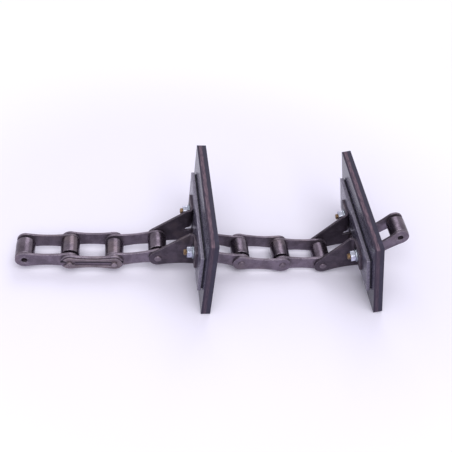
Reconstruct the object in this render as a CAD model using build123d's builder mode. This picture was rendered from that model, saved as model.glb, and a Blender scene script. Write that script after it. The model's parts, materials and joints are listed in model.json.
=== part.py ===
from build123d import *
import math
import os

# Nine links of a roller conveyor chain with two bolted rubber paddles, as it lies on a flat floor.
#
# Each piece is drawn in its link's own frame: the left pin's axis is the origin, X runs to the right pin,
# Y across the chain and Z away from the sprocket side. The row frame, in which the links stand, has its
# origin at the bottom centre of the whole length. Sizes are millimetres, angles degrees. "Back" is the +Y
# side of the chain and "front" the -Y side, where the spring clip is.

# ---------------------------------------------------------------- chain
PITCH = 41.4            # pin to pin
INNER_WIDTH = 22.23     # between the inner plates
PLATE_H = 17.3          # link plate height over the heads
WAIST_H = 13.4          # link plate height at mid length
PLATE_T = 2.4
SIDE_GAP = 0.5          # running gap between an inner and an outer plate
PIN_D = 5.74
BUSH_D = 8.9
RUNNING = 0.06          # radial running clearance of pin in bush and bush in roller
RIVET_D = 6.8           # upset pin end
RIVET_H = 1.0
RIVET_BEVEL = 0.45
ROLLER_D = 17.78
ROLLER_PLAY = 3.2       # inner width less the roller's length
ROLLER_REST = 0.2       # gap left on the side to which a roller has slid
ROLLER_BEVEL = 0.7
# ---------------------------------------------------------------- spring clip of the connecting link
CLIP_T = 1.2
CLIP_HEAD_H = 14.2      # clip height round the pins
CLIP_WAIST_H = 10.6
CLIP_PASS = 0.1         # clearance of the slot over a pin's tail
CLIP_NECK_H = 3.2       # gap where the legs close behind the left pin
CLIP_NECK_END = 5.0     # neck to left pin
CLIP_MOUTH_H = 9.0      # gap between the flared lips
GROOVE_D = 4.5          # pin groove that seats the clip
GROOVE_W = 1.3
PIN_TAIL = 2.0          # pin beyond the groove
# ---------------------------------------------------------------- attachment plates
BEND_R = 3.5            # inside radius of the bend
TAB_FACE = 34.1         # tab face that carries the paddle, from the left pin
TAB_BOTTOM = 11.0       # above the pin line
TAB_TOP = 32.3
TAB_REACH = 39.7        # tab end from the chain's middle plane
TAB_CORNER_R = 3.0
RELIEF_R = 3.4          # punched relief under the bend
RELIEF_LEAD = 1.6       # relief centre ahead of the bend line
# ---------------------------------------------------------------- paddle, backing plate and fasteners
PADDLE_W = 134.6
PADDLE_H = 92.7
PADDLE_T = 8.8
PADDLE_BOTTOM = -21.6   # from the pin line
PADDLE_CORNER_R = 1.5
SEAT_T = 1.1            # raised seat moulded on the paddle
SEAT_INSET = 1.2
BACKING_W = 114.6
BACKING_H = 44.0
BACKING_T = 3.2
BACKING_BOTTOM = 0.9
NOTCH_W = 39.0          # chain passage through paddle and backing plate
NOTCH_TOP = 14.6
NOTCH_R = 3.0
BOLT_D = 6.0
BOLT_HOLE_D = 6.6
BOLT_Y = 27.0
BOLT_Z = 20.7
BOLT_TAIL = 2.7         # thread beyond the nut
BOLT_POINT = 0.6        # chamfer at the thread's end
HEX_AF = 10.0           # nut and head across flats
HEX_TURN = 15.0         # how far the hexagons were left turned
NUT_H = 5.0
HEAD_H = 4.0
NUT_WASHER_D = 12.5
HEAD_WASHER_D = 18.0
WASHER_T = 1.6
# ---------------------------------------------------------------- how the chain lies: slope of each link
SLOPES = {
    "inner1": 0.1, "clip2": -0.3, "inner3": 9.0, "attach4": 1.3, "inner5": -11.2,
    "outer6": -3.1, "inner7": -0.5, "attach8": 14.9, "inner9": 42.3,
}
# the side to which the left and the right roller of each inner link have slid
RESTS = {
    "inner1": ("front", "back"), "inner3": ("front", "back"), "inner5": ("front", "back"),
    "inner7": ("back", "front"), "inner9": ("back", "front"),
}

ENDS = {"left": 0.0, "right": PITCH}
SIDES = {"back": 1, "front": -1}
HEAD_R = PLATE_H / 2
INNER_IN = INNER_WIDTH / 2                  # inner face of an inner plate
INNER_OUT = INNER_IN + PLATE_T
OUTER_IN = INNER_OUT + SIDE_GAP
OUTER_OUT = OUTER_IN + PLATE_T
PIN_END = OUTER_OUT + RIVET_H
TAB_BACK = TAB_FACE - PLATE_T
BEND_X = TAB_BACK - BEND_R
SEAT_X = TAB_FACE + BACKING_T
PADDLE_X = SEAT_X + SEAT_T
PADDLE_BACK = PADDLE_X + PADDLE_T
NUT_X = TAB_BACK - WASHER_T - NUT_H
HEAD_X = PADDLE_BACK + WASHER_T
BOLT_PLACES = ((-BOLT_Y, BOLT_Z), (BOLT_Y, BOLT_Z))


class Link:
    """One link where it stands, with the planes and axes of its own frame as they lie in the row frame."""

    def __init__(self, name, x, z, slope):
        self.name = name
        self.kind = name.rstrip("0123456789")
        self.place = Location((x, 0, z), (0, -slope, 0))
        self.along = Axis(self.at(Plane.YZ).origin, self.at(Plane.YZ).z_dir)

    def at(self, plane):
        """A plane of the link's frame, in the row frame."""
        return Plane(self.place * plane.location)

    def side(self, y):
        """The plane of a face across Y. A sketch on it has X and Z, and extrudes towards -Y."""
        return self.at(Plane.XZ.offset(-y))

    def across(self, x):
        """The plane of a face across X. A sketch on it has Y and Z, and extrudes towards +X."""
        return self.at(Plane.YZ.offset(x))

    def level(self, z):
        """The plane of a face across Z. A sketch on it has X and Y, and extrudes towards +Z."""
        return self.at(Plane.XY.offset(z))

    def through(self, end):
        """The plane across Z through one pin's axis, with its origin on that axis."""
        return self.at(Plane((ENDS[end], 0, 0)))


def lay_out():
    """The links of the row, with its length centred and its lowest point at Z 0."""
    x = z = 0.0
    starts, low = [], []
    for name, slope in SLOPES.items():
        run, rise = math.cos(math.radians(slope)), math.sin(math.radians(slope))
        starts.append((name, x, z, slope))
        low.append(z - HEAD_R)
        if name.startswith("attach"):
            low += [z + edge * rise + PADDLE_BOTTOM * run for edge in (PADDLE_X, PADDLE_BACK)]
        x, z = x + PITCH * run, z + PITCH * rise
    low.append(z - HEAD_R)
    return [Link(name, at_x - x / 2, at_z - min(low), slope) for name, at_x, at_z, slope in starts]


def keep(piece, link, what):
    """Label a finished piece and write its STEP file."""
    piece.part.label = f"{link.name}_{what}"
    export_step(piece.part, f"parts/{piece.part.label}.step")


# ---------------------------------------------------------------- link plates
def draw_waisted(head, waist):
    """Add two round heads a pitch apart, joined by concave arcs tangent to both, to the current sketch.

    Head and waist are half heights.
    """
    half = PITCH / 2
    radius = (half**2 + waist**2 - head**2) / (2 * (head - waist))
    touch_x = half * radius / (radius + head)
    touch_y = head * (radius + waist) / (radius + head)
    left, right = half - touch_x, half + touch_x
    with BuildLine() as outline:
        ThreePointArc((left, touch_y), (half, waist), (right, touch_y))
        ThreePointArc((right, touch_y), (PITCH + head, 0), (right, -touch_y))
        ThreePointArc((right, -touch_y), (half, -waist), (left, -touch_y))
        ThreePointArc((left, -touch_y), (-head, 0), (left, touch_y))
    make_face(outline.edges())


def link_plate(link, side, hole_d, inner_face):
    """A waisted plate on one side, with its two holes."""
    with BuildPart() as plate:
        with BuildSketch(link.side(inner_face + PLATE_T)):
            draw_waisted(HEAD_R, WAIST_H / 2)
            with Locations((0, 0), (PITCH, 0)):
                Circle(hole_d / 2, mode=Mode.SUBTRACT)
        extrude(amount=PLATE_T)
        if SIDES[side] < 0:
            mirror(about=Plane.XZ, mode=Mode.REPLACE)
    keep(plate, link, f"plate_{side}")


def attachment_plate(link, side):
    """An outer plate with its gusset, punched relief, bend and bolted tab."""
    # the gusset's sloping edge touches the left head and ends at the top of the bend line
    reach = math.hypot(BEND_X, TAB_TOP)
    turn = math.atan2(TAB_TOP, BEND_X) + math.acos(HEAD_R / reach)
    touch = (HEAD_R * math.cos(turn), HEAD_R * math.sin(turn))
    bend_y = OUTER_OUT + BEND_R
    bend_r = BEND_R + PLATE_T
    height = TAB_TOP - TAB_BOTTOM
    with BuildPart() as plate:
        with BuildSketch(link.side(OUTER_OUT)):
            with BuildLine():
                Polyline((0, 0), touch, (BEND_X, TAB_TOP), (BEND_X, 0), close=True)
            make_face()
            with Locations((BEND_X + RELIEF_LEAD, TAB_BOTTOM - RELIEF_R)):
                Circle(RELIEF_R, mode=Mode.SUBTRACT)
            draw_waisted(HEAD_R, WAIST_H / 2)
            with Locations((0, 0), (PITCH, 0)):
                Circle(PIN_D / 2, mode=Mode.SUBTRACT)
        extrude(amount=PLATE_T)
        with BuildSketch(link.level(TAB_BOTTOM)):
            with Locations((BEND_X, bend_y)):
                Circle(bend_r)
                Circle(BEND_R, mode=Mode.SUBTRACT)
                Rectangle(bend_r, bend_r, align=(Align.MIN, Align.MAX), mode=Mode.INTERSECT)
        extrude(amount=height)
        with BuildSketch(link.across(TAB_BACK)):
            with Locations((bend_y, TAB_BOTTOM)):
                tab = Rectangle(TAB_REACH - bend_y, height, align=(Align.MIN, Align.MIN))
            fillet(tab.vertices().group_by(Axis.X)[-1], TAB_CORNER_R)
            with Locations((BOLT_Y, BOLT_Z)):
                Circle(BOLT_HOLE_D / 2, mode=Mode.SUBTRACT)
        extrude(amount=PLATE_T)
        if SIDES[side] < 0:
            mirror(about=Plane.XZ, mode=Mode.REPLACE)
    keep(plate, link, f"plate_{side}")


# ---------------------------------------------------------------- pins, bushes and rollers
def turned(link, end, what, *profile):
    """A piece turned round one pin's axis from (radius, y) corners."""
    plane = link.through(end)
    with BuildPart() as piece:
        with BuildSketch(plane):
            with BuildLine():
                Polyline(*profile, close=True)
            make_face()
        revolve(axis=Axis(plane.origin, plane.y_dir))
    keep(piece, link, f"{what}_{end}")


def rivet_corners():
    """The upset back end of a pin, from the plate's face to the axis."""
    rivet = RIVET_D / 2
    return (
        (PIN_D / 2, OUTER_OUT), (rivet, OUTER_OUT), (rivet, PIN_END - RIVET_BEVEL),
        (rivet - RIVET_BEVEL, PIN_END), (0, PIN_END),
    )


def riveted_pin(link, end):
    """A pin with both ends upset over the outer plates."""
    back = rivet_corners()
    front = tuple((radius, -y) for radius, y in reversed(back))
    turned(link, end, "pin", *front, *back)


def clip_pin(link, end):
    """A connecting pin: upset at the back, grooved for the spring clip at the front."""
    pin, groove = PIN_D / 2, GROOVE_D / 2
    groove_end = OUTER_OUT + GROOVE_W
    tail = groove_end + PIN_TAIL
    turned(
        link, end, "pin",
        (0, -tail), (pin - RIVET_BEVEL, -tail), (pin, RIVET_BEVEL - tail), (pin, -groove_end),
        (groove, -groove_end), (groove, -OUTER_OUT), (pin, -OUTER_OUT), *rivet_corners(),
    )


def bush(link, end):
    """The tube pressed through both inner plates, on which the roller turns."""
    bore, wall = PIN_D / 2 + RUNNING, BUSH_D / 2
    turned(
        link, end, "bush",
        (bore, -INNER_OUT), (wall, -INNER_OUT), (wall, INNER_OUT), (bore, INNER_OUT),
    )


def roller(link, end, rest):
    """A roller, free on its bush, slid to one side."""
    bore, out = BUSH_D / 2 + RUNNING, ROLLER_D / 2
    slid = SIDES[rest] * (ROLLER_PLAY / 2 - ROLLER_REST)
    front, back = slid + ROLLER_PLAY / 2 - INNER_IN, slid - ROLLER_PLAY / 2 + INNER_IN
    turned(
        link, end, "roller",
        (bore, front), (out - ROLLER_BEVEL, front), (out, front + ROLLER_BEVEL),
        (out, back - ROLLER_BEVEL), (out - ROLLER_BEVEL, back), (bore, back),
    )


# ---------------------------------------------------------------- spring clip
def spring_clip(link):
    """The U-shaped clip in both pin grooves.

    Its closed end seats on the right pin. The legs part wide enough to pass over a pin's tail, close to a
    neck that snaps behind the left pin and flare to a mouth past it.
    """
    slack = (GROOVE_W - CLIP_T) / 2
    slot_h = PIN_D + 2 * CLIP_PASS
    neck, lip, head = CLIP_NECK_H / 2, CLIP_MOUTH_H / 2, CLIP_HEAD_H / 2
    with BuildPart() as clip:
        with BuildSketch(link.side(-OUTER_OUT - slack)):
            draw_waisted(head, CLIP_WAIST_H / 2)
            with Locations((0, 0), (PITCH, 0)):
                Circle(GROOVE_D / 2 + RUNNING, mode=Mode.SUBTRACT)
            with Locations((PITCH, 0)):
                Rectangle(
                    PITCH - CLIP_NECK_END, slot_h, align=(Align.MAX, Align.CENTER), mode=Mode.SUBTRACT
                )
            with BuildLine():
                Polyline(
                    (CLIP_NECK_END, neck), (-GROOVE_D / 2, neck), (-head, lip), (-2 * head, lip),
                    (-2 * head, -lip), (-head, -lip), (-GROOVE_D / 2, -neck), (CLIP_NECK_END, -neck),
                    close=True,
                )
            make_face(mode=Mode.SUBTRACT)
        extrude(amount=CLIP_T)
    keep(clip, link, "spring")


# ---------------------------------------------------------------- paddle and its fasteners
def draw_slab(width, bottom, height, hole_d):
    """Add a plate with the chain's notch and both bolt holes to the current sketch."""
    with Locations((0, bottom)):
        RectangleRounded(width, height, PADDLE_CORNER_R, align=(Align.CENTER, Align.MIN))
    with Locations((0, NOTCH_TOP)):
        depth = NOTCH_TOP - min(bottom, PADDLE_BOTTOM) + NOTCH_R
        RectangleRounded(
            NOTCH_W, depth, NOTCH_R, align=(Align.CENTER, Align.MAX), mode=Mode.SUBTRACT
        )
    with Locations(*BOLT_PLACES):
        Circle(hole_d / 2, mode=Mode.SUBTRACT)


def backing_plate(link):
    """The steel plate between the tabs and the rubber."""
    with BuildPart() as backing:
        with BuildSketch(link.across(TAB_FACE)):
            draw_slab(BACKING_W, BACKING_BOTTOM, BACKING_H, BOLT_HOLE_D)
        extrude(amount=BACKING_T)
    keep(backing, link, "backing")


def paddle(link):
    """The rubber paddle, with a raised seat for the backing plate."""
    with BuildPart() as rubber:
        with BuildSketch(link.across(PADDLE_X)):
            draw_slab(PADDLE_W, PADDLE_BOTTOM, PADDLE_H, BOLT_D)
        extrude(amount=PADDLE_T)
        with BuildSketch(link.across(SEAT_X)):
            draw_slab(
                BACKING_W - 2 * SEAT_INSET, BACKING_BOTTOM + SEAT_INSET, BACKING_H - 2 * SEAT_INSET,
                BOLT_D,
            )
        extrude(amount=SEAT_T)
    keep(rubber, link, "paddle")


def bolts(link):
    """The two paddle bolts, heads behind the rubber, threads towards the chain."""
    tip = NUT_X - BOLT_TAIL
    with BuildPart() as pair:
        with BuildSketch(link.across(tip)):
            with Locations(*BOLT_PLACES):
                Circle(BOLT_D / 2)
        extrude(amount=HEAD_X - tip)
        chamfer(pair.edges().group_by(link.along)[0], BOLT_POINT)
        with BuildSketch(link.across(HEAD_X)):
            with Locations(*BOLT_PLACES):
                RegularPolygon(HEX_AF / 2, 6, major_radius=False, rotation=HEX_TURN)
        extrude(amount=HEAD_H)
    keep(pair, link, "bolts")


def nuts(link):
    """The two nuts on the chain side."""
    with BuildPart() as pair:
        with BuildSketch(link.across(NUT_X)):
            with Locations(*BOLT_PLACES):
                RegularPolygon(HEX_AF / 2, 6, major_radius=False, rotation=HEX_TURN)
                Circle(BOLT_D / 2, mode=Mode.SUBTRACT)
        extrude(amount=NUT_H)
    keep(pair, link, "nuts")


def washers(link):
    """A small washer under each nut and a wide one under each bolt head."""
    with BuildPart() as four:
        for face, across in ((TAB_BACK - WASHER_T, NUT_WASHER_D), (PADDLE_BACK, HEAD_WASHER_D)):
            with BuildSketch(link.across(face)):
                with Locations(*BOLT_PLACES):
                    Circle(across / 2)
                    Circle(BOLT_HOLE_D / 2, mode=Mode.SUBTRACT)
            extrude(amount=WASHER_T)
    keep(four, link, "washers")


# ---------------------------------------------------------------- links
def inner_link(link):
    """Two plates pressed on two bushes, with a free roller on each."""
    for side in SIDES:
        link_plate(link, side, BUSH_D, INNER_IN)
    for end, rest in zip(ENDS, RESTS[link.name]):
        bush(link, end)
        roller(link, end, rest)


def outer_link(link):
    """Two plates riveted on two pins."""
    for side in SIDES:
        link_plate(link, side, PIN_D, OUTER_IN)
    for end in ENDS:
        riveted_pin(link, end)


def connecting_link(link):
    """The link that opens: two plates held by a spring clip."""
    for side in SIDES:
        link_plate(link, side, PIN_D, OUTER_IN)
    for end in ENDS:
        clip_pin(link, end)
    spring_clip(link)


def attachment_link(link):
    """An outer link whose bent plates carry a paddle."""
    for side in SIDES:
        attachment_plate(link, side)
    for end in ENDS:
        riveted_pin(link, end)
    for piece in (backing_plate, paddle, bolts, nuts, washers):
        piece(link)


BUILDERS = {
    "inner": inner_link, "outer": outer_link, "clip": connecting_link, "attach": attachment_link,
}

os.makedirs("parts", exist_ok=True)
for one in lay_out():
    BUILDERS[one.kind](one)
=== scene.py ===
"""Finishes a roller conveyor chain with two bolted rubber paddles and stands it on a pale studio floor.

Lengths are in metres, apart from those of a finish's pattern, which are in millimetres. Each link has its
own frame: the left pin's axis is the origin, X runs to the right pin, Y across the chain and Z away from the
sprocket side. Pieces are shaped in that frame and then put in place.
"""

import json
import logging
import math
from collections.abc import Callable, Sequence
from dataclasses import dataclass, field, replace
from enum import Enum
from functools import reduce

import bmesh
import bpy
from mathutils import Matrix, Vector


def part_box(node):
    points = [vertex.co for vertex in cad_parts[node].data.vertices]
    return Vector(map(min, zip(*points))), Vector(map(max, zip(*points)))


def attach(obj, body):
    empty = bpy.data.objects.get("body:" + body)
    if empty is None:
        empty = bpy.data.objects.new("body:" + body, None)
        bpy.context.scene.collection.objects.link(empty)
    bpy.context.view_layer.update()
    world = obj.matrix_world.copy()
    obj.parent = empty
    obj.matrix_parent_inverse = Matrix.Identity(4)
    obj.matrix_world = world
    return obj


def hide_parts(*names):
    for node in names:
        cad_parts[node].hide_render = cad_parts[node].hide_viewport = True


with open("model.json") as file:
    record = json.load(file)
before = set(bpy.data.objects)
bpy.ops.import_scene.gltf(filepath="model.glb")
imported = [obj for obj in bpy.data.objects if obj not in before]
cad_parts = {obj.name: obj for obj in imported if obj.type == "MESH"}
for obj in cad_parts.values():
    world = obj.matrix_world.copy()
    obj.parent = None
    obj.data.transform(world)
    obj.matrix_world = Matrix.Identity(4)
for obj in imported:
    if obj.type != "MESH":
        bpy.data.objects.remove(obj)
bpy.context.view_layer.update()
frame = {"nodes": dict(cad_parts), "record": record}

LOG = logging.getLogger("conveyor_chain")
MM = 0.001
FACETED = math.radians(32)  # edges sharper than this are rounded or stay crisp
LEVEL = math.radians(0.5)  # faces that differ less than this lie in one plane
WELD = 0.001 * MM  # points closer than this are one point
TOUCH = 0.05 * MM  # points closer than this to a face lie on it
EDGE_LAYER = "edge_wear"
ORIGIN = (0.0, 0.0, 0.0)
GREY = (0.5, 0.5, 0.5, 1.0)

Span = tuple[float, float]  # a range, or a lowest and a highest value
Corner = tuple[float, float]  # radius and height of a turned profile's corner
Triple = tuple[float, float, float]
Colour = tuple[float, float, float, float]
Socket = bpy.types.NodeSocket
Sockets = dict[str, Socket]
Value = Socket | float | Colour | Triple


def linear(code: str) -> Colour:
    """Turn a display colour such as "#5a4f5a" into linear light.

    Args:
        code: The colour as six hexadecimal digits after a hash.

    Returns:
        Red, green, blue and an alpha of one.
    """
    parts = [int(code[at : at + 2], 16) / 255 for at in (1, 3, 5)]
    red, green, blue = ((p / 12.92) if p <= 0.04045 else ((p + 0.055) / 1.055) ** 2.4 for p in parts)
    return red, green, blue, 1.0


# ------------------------------------------------------------ the chain's links
class Kind(Enum):
    """What sort of link it is."""

    INNER = "inner"
    OUTER = "outer"
    CLIP = "clip"
    ATTACH = "attach"


class Side(Enum):
    """Which end of a link a turned piece sits at, as a share of the pitch."""

    LEFT = 0.0
    RIGHT = 1.0


@dataclass(frozen=True)
class Link:
    """One link, found from the two turned pieces that carry it.

    Attributes:
        name: The link's name, which is also its body.
        kind: Inner, outer, clip or attachment.
    """

    name: str
    kind: Kind

    def axis_at(self, side: Side) -> Vector:
        """Give the middle of the bush or pin at one end.

        Args:
            side: Which end.

        Returns:
            The point on the chain's middle plane.
        """
        spindle = "bush" if self.kind is Kind.INNER else "pin"
        low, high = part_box(f"{self.name}_{spindle}_{side.name.lower()}")
        middle = (low + high) / 2
        return Vector((middle.x, 0.0, middle.z))

    @property
    def pitch(self) -> float:
        """Distance between the two axes."""
        return (self.axis_at(Side.RIGHT) - self.axis_at(Side.LEFT)).length

    @property
    def place(self) -> Matrix:
        """Find where the link stands.

        Returns:
            The matrix from the link's own frame to the row frame.
        """
        start, end = self.axis_at(Side.LEFT), self.axis_at(Side.RIGHT)
        slope = math.atan2(end.z - start.z, end.x - start.x)
        return Matrix.Translation(start) @ Matrix.Rotation(-slope, 4, "Y")

    def extent(self, what: str) -> tuple[Vector, Vector]:
        """Measure one of the link's CAD nodes in the link's own frame.

        Args:
            what: The node's name without the link's.

        Returns:
            Its lowest and its highest corner.
        """
        inverse = self.place.inverted()
        points = [inverse @ vert.co for vert in frame["nodes"][f"{self.name}_{what}"].data.vertices]
        low, high = (Vector([pick(along) for along in zip(*points)]) for pick in (min, max))
        return low, high

    def spindle_place(self, side: Side) -> Matrix:
        """Matrix to the row frame from a frame whose origin is the axis at one end."""
        return self.place @ Matrix.Translation((side.value * self.pitch, 0, 0))


def body_of(node: str) -> str:
    """Name the body that carries a CAD node.

    Args:
        node: The node's name.

    Returns:
        The body's name.
    """
    bodies = frame["record"]["behaviour"]["bodies"]
    return next(body for body, members in bodies.items() if node in members)


# ------------------------------------------------------------ node trees
@dataclass
class Wiring:
    """A material's or a group's node tree while it is wired.

    Attributes:
        tree: The node tree.
    """

    tree: bpy.types.NodeTree

    def node(
        self, kind: str, feeds: dict[str | int, Value] | None = None, **settings: object
    ) -> bpy.types.Node:
        """Add a node.

        Args:
            kind: The node's type without its prefix.
            feeds: What each input gets: a plain value or another node's output.
            settings: Properties set on the node.

        Returns:
            The node.
        """
        made = self.tree.nodes.new("ShaderNode" + kind)
        for name, value in settings.items():
            setattr(made, name, value)
        self.feed(made, feeds or {})
        return made

    def feed(self, node: bpy.types.Node, feeds: dict[str | int, Value]) -> None:
        """Link or set some of a node's inputs.

        Args:
            node: The node.
            feeds: What each input gets.
        """
        for name, value in feeds.items():
            if isinstance(value, Socket):
                self.tree.links.new(value, node.inputs[name])
            else:
                node.inputs[name].default_value = value

    def maths(self, operation: str, *terms: Value) -> Socket:
        """Combine numbers with one operation and give the result."""
        return self.node("Math", dict(enumerate(terms)), operation=operation).outputs[0]

    def product(self, *terms: Value) -> Socket:
        """Multiply numbers and give the result."""
        return reduce(lambda one, other: self.maths("MULTIPLY", one, other), terms)

    def remap(
        self, value: Value, low: float, high: float, to_low: float = 0.0, to_high: float = 1.0
    ) -> Socket:
        """Map a number smoothly from one range to another and hold it at the ends.

        Args:
            value: The number.
            low: Where the range starts.
            high: Where the range ends.
            to_low: The result at its start.
            to_high: The result at its end.

        Returns:
            The mapped number.
        """
        feeds = {0: value, 1: low, 2: high, 3: to_low, 4: to_high}
        return self.node("MapRange", feeds, interpolation_type="SMOOTHSTEP").outputs[0]

    def within(self, value: Value, rise: Span, fall: Span, most: float = 1.0) -> Socket:
        """Give a mask that rises from 0 over one range and falls back to 0 over another.

        Args:
            value: The number that the mask follows.
            rise: Where it starts to rise and where it has.
            fall: Where it starts to fall and where it has.
            most: Its value between them.

        Returns:
            The mask.
        """
        return self.product(self.remap(value, *rise, 0.0, most), self.remap(value, *fall, 1.0, 0.0))

    def mixed(self, share: Value, first: Value, second: Value) -> Socket:
        """Mix two colours by a share and give the colour."""
        return self.node("Mix", {0: share, 6: first, 7: second}, data_type="RGBA").outputs[2]

    def noise(self, vector: Value, scale: float, detail: float = 3.0, roughness: float = 0.55) -> Socket:
        """Give smooth noise from 0 to 1.

        Args:
            vector: Where it is read.
            scale: Its cells per unit.
            detail: Finer octaves.
            roughness: Strength of the finer octaves.

        Returns:
            The noise value.
        """
        feeds = {"Vector": vector, "Scale": scale, "Detail": detail, "Roughness": roughness}
        return self.node("TexNoise", feeds).outputs["Fac"]

    def stretched(self, vector: Value, scale: Triple) -> Socket:
        """Scale coordinates differently along each axis and give them."""
        return self.node("Mapping", {"Vector": vector, "Scale": scale}).outputs[0]

    def seen(self) -> Socket:
        """Tell rays that show the surface itself from those that only carry light.

        Returns:
            1 for a ray from the camera, a reflection or a clear piece, and otherwise 0.
        """
        path = self.node("LightPath").outputs
        mirrored = self.maths("MAXIMUM", path["Is Glossy Ray"], path["Is Transmission Ray"])
        return self.maths("MAXIMUM", path["Is Camera Ray"], mirrored)

    def coordinates(self, place: Matrix) -> Socket:
        """Give a surface's place in millimetres in a frame of its own.

        Args:
            place: Matrix from that frame to the row frame.

        Returns:
            The coordinate vector.
        """
        feeds = {
            "Vector": self.node("TexCoord").outputs["Object"],
            "Location": tuple(place.translation),
            "Rotation": tuple(place.to_euler()),
            "Scale": (MM, MM, MM),
        }
        return self.node("Mapping", feeds, vector_type="TEXTURE").outputs[0]


@dataclass(frozen=True)
class Effect:
    """A surface effect that several finishes share, kept as one node group.

    Attributes:
        name: The group's name.
        inputs: Each input's name and default; a tuple of three is a vector, of four a colour.
        outputs: Each output's name, and whether it is a colour.
        wire: Wires the group: gets its wiring and its inputs, and returns its outputs in order.
    """

    name: str
    inputs: tuple[tuple[str, Value], ...]
    outputs: tuple[tuple[str, bool], ...]
    wire: Callable[[Wiring, Sockets], Sequence[Socket]]

    def group(self) -> bpy.types.NodeTree:
        """Build the group once.

        Returns:
            The node group.
        """
        made = bpy.data.node_groups.get(self.name)
        if made is not None:
            return made
        made = bpy.data.node_groups.new(self.name, "ShaderNodeTree")
        for name, value in self.inputs:
            width = len(value) if isinstance(value, tuple) else 1
            kind = {1: "NodeSocketFloat", 3: "NodeSocketVector", 4: "NodeSocketColor"}[width]
            made.interface.new_socket(name, in_out="INPUT", socket_type=kind).default_value = value
        for name, is_colour in self.outputs:
            kind = "NodeSocketColor" if is_colour else "NodeSocketFloat"
            made.interface.new_socket(name, in_out="OUTPUT", socket_type=kind)
        entry, leave = made.nodes.new("NodeGroupInput"), made.nodes.new("NodeGroupOutput")
        results = self.wire(Wiring(made), {name: entry.outputs[name] for name, _ in self.inputs})
        for (name, _), result in zip(self.outputs, results, strict=True):
            made.links.new(result, leave.inputs[name])
        return made

    def put(self, wiring: Wiring, feeds: dict[str, Value]) -> list[Socket]:
        """Place the effect in a material.

        Args:
            wiring: The material's wiring.
            feeds: What each of the group's inputs gets.

        Returns:
            The group's outputs in order.
        """
        made = wiring.tree.nodes.new("ShaderNodeGroup")
        made.node_tree = self.group()
        wiring.feed(made, feeds)
        return list(made.outputs)


def wire_mottle(w: Wiring, given: Sockets) -> Sequence[Socket]:
    """Cloudy tone of heat-treated and oiled steel: broad clouds broken up by a finer one.

    Args:
        w: The group's wiring.
        given: Its inputs.

    Returns:
        The tone and the clouds' mask.
    """
    broad_scale, fine_scale, stain_scale = 0.11, 0.9, 0.055
    broad_share, cloud_edge, stain_edge = 0.62, (0.34, 0.66), (0.52, 0.74)
    spread = w.node("VectorMath", {0: given["Place"], 1: (broad_scale,) * 3}, operation="MULTIPLY").outputs[0]
    broad = w.noise(spread, 1.0, detail=4.0)
    fine = w.noise(given["Place"], fine_scale, detail=5.0, roughness=0.7)
    cloud = w.maths("ADD", w.product(broad, broad_share), w.product(fine, 1 - broad_share))
    mask = w.remap(cloud, *cloud_edge)
    tone = w.mixed(mask, given["Dark"], given["Light"])
    warm = w.remap(w.noise(given["Place"], stain_scale, detail=2.0), *stain_edge)
    return w.mixed(w.product(warm, given["Warmth"]), tone, given["Tint"]), mask


def wire_wear(w: Wiring, given: Sockets) -> Sequence[Socket]:
    """Rubbed edges: the rounded corners show bright where a patchy noise lets them.

    Args:
        w: The group's wiring.
        given: Its inputs.

    Returns:
        The mask of bare metal.
    """
    patch_scale, patch_edge = 0.42, (0.38, 0.62)
    patches = w.remap(w.noise(given["Place"], patch_scale, detail=4.0, roughness=0.65), *patch_edge)
    return (w.product(given["Edge"], patches, given["Amount"]),)


def wire_peening(w: Wiring, given: Sockets) -> Sequence[Socket]:
    """Small dimples of tumbled and shot-blasted steel over a slow unevenness.

    Args:
        w: The group's wiring.
        given: Its inputs.

    Returns:
        The height.
    """
    slow_scale, slow_share = 0.35, 0.8
    cells = w.node("TexVoronoi", {"Vector": given["Place"], "Scale": given["Density"]}, feature="SMOOTH_F1")
    slow = w.noise(given["Place"], slow_scale, detail=2.0)
    return (w.maths("ADD", cells.outputs["Distance"], w.product(slow, slow_share)),)


def wire_scratches(w: Wiring, given: Sockets) -> Sequence[Socket]:
    """Thin marks along the direction in which the given place changes slowly.

    Args:
        w: The group's wiring.
        given: Its inputs.

    Returns:
        The marks' mask.
    """
    line_edge, break_scale, break_edge = (0.56, 0.68), 0.21, (0.42, 0.6)
    lines = w.noise(given["Place"], 1.0, detail=2.0, roughness=0.8)
    breaks = w.remap(w.noise(given["Place"], break_scale, detail=1.0), *break_edge)
    return (w.product(w.remap(lines, *line_edge), breaks),)


MOTTLE = Effect(
    "steel_mottle",
    (("Place", ORIGIN), ("Dark", GREY), ("Light", GREY), ("Tint", GREY), ("Warmth", 0.3)),
    (("Tone", True), ("Clouds", False)),
    wire_mottle,
)
WEAR = Effect("edge_wear", (("Place", ORIGIN), ("Edge", 0.0), ("Amount", 1.0)), (("Worn", False),), wire_wear)
PEENING = Effect("peening", (("Place", ORIGIN), ("Density", 1.6)), (("Height", False),), wire_peening)
SCRATCHES = Effect("scratches", (("Place", ORIGIN),), (("Marks", False),), wire_scratches)


# ------------------------------------------------------------ finishes
@dataclass(frozen=True)
class Finish:
    """A surface finish and the record's slot that it belongs to.

    Attributes:
        name: The material's name.
        slot: The record's material slot; not used.
    """

    name: str
    slot: str

    def wire(self, w: Wiring, shader: bpy.types.Node, place: Matrix) -> None:
        """Wire the shader's inputs. Each finish has its own."""
        raise NotImplementedError

    def material(self, place: Matrix | None = None, suffix: str = "") -> bpy.types.Material:
        """Build the material once for each frame it is used in.

        Args:
            place: Frame of a pattern that follows its piece, or nothing for the row frame.
            suffix: Added to the name where the pattern has a frame of its own.

        Returns:
            The material.
        """
        title = self.name + suffix
        made = bpy.data.materials.get(title)
        if made is None:
            made = bpy.data.materials.new(title)
            made.use_nodes = True
            shader = made.node_tree.nodes["Principled BSDF"]
            self.wire(Wiring(made.node_tree), shader, place or Matrix.Identity(4))
        return made


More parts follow.
